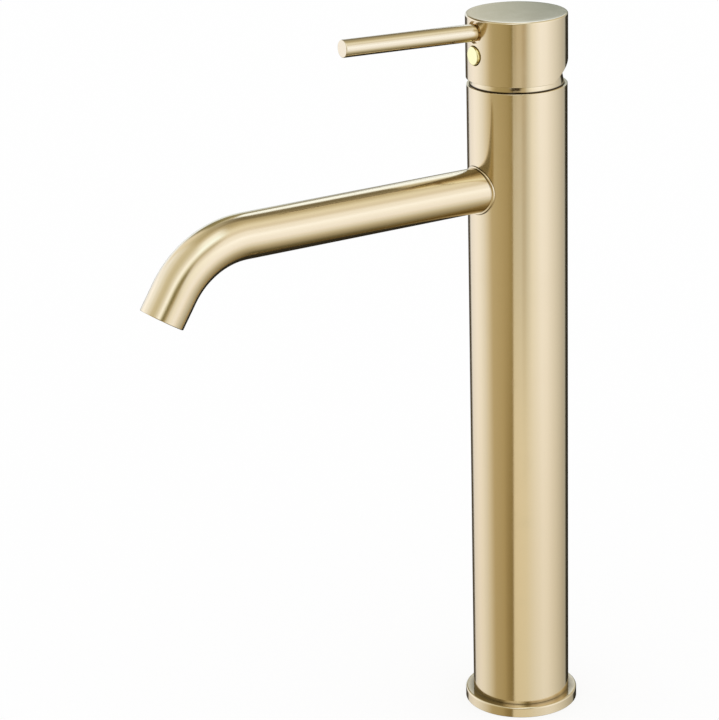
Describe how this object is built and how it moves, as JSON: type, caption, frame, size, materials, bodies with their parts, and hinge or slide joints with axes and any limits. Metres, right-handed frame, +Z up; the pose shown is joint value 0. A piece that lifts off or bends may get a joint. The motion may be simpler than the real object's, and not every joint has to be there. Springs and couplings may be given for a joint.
{
  "type": "bathroom mixer faucet",
  "caption": "Tall single-lever basin mixer: straight column on a round foot, slim bent spout, round hub with a pin lever that lifts and turns a ceramic disc cartridge.",
  "frame": {"origin": "centre of the foot's underside, on the column's axis, where it stands on the deck", "axes": "+Z up along the column; the spout and the lever point to -Y; +X is to the right, seen from the spout"},
  "size_m": [0.0524, 0.2171, 0.3315],
  "materials": {
    "satin_gold": "satin brushed champagne gold coating",
    "polished_gold": "polished pale gold",
    "raw_brass": "machined brass",
    "copper": "drawn copper tube",
    "rubber": "matt black rubber",
    "steel": "turned steel",
    "white_plastic": "moulded white plastic",
    "grey_plastic": "moulded grey plastic",
    "blue_plastic": "moulded pale blue plastic",
    "ceramic": "lapped white ceramic"
  },
  "bodies": {
    "body": {"base_flange": "satin_gold", "base_seal": "rubber", "column": "satin_gold", "mounting_block": "raw_brass", "hot_riser": "copper", "cold_riser": "copper", "riser_orings": "rubber", "valve_body": "raw_brass", "spout_tube": "satin_gold", "spout_collar": "satin_gold", "spout_nipple": "raw_brass", "nipple_orings": "rubber", "aerator_housing": "grey_plastic", "aerator_insert": "grey_plastic", "aerator_seal": "rubber", "cartridge_base": "white_plastic", "seat_seals": "rubber", "disc_seals": "rubber", "fixed_disc": "ceramic", "cartridge_housing": "white_plastic", "retaining_nut": "raw_brass", "neck_ring": "satin_gold"},
    "carrier": {"rotor": "white_plastic", "stem_pin": "steel"},
    "handle": {"stem": "steel", "handle_hub": "satin_gold", "lever_rod": "satin_gold", "grub_screw": "steel", "index_plug": "polished_gold"},
    "disc": {"disc_carrier": "blue_plastic", "moving_disc": "ceramic"}
  },
  "joints": [
    {"name": "mixer_turn", "type": "hinge", "parent": "body", "child": "carrier", "pos_m": [0, 0, 0.2982], "axis": [0, 0, 1], "range_deg": [-45, 45]},
    {"name": "lever_lift", "type": "hinge", "parent": "carrier", "child": "handle", "pos_m": [0, 0, 0.2982], "axis": [-1, 0, 0], "range_deg": [0, 25]},
    {"name": "disc_slide", "type": "slide", "parent": "carrier", "child": "disc", "axis": [0, -1, 0], "range_m": [0, 0.00529]}
  ],
  "couplings": [
    {"joint": "disc_slide", "follows": "lever_lift", "m_per_rad": 0.012107}
  ]
}
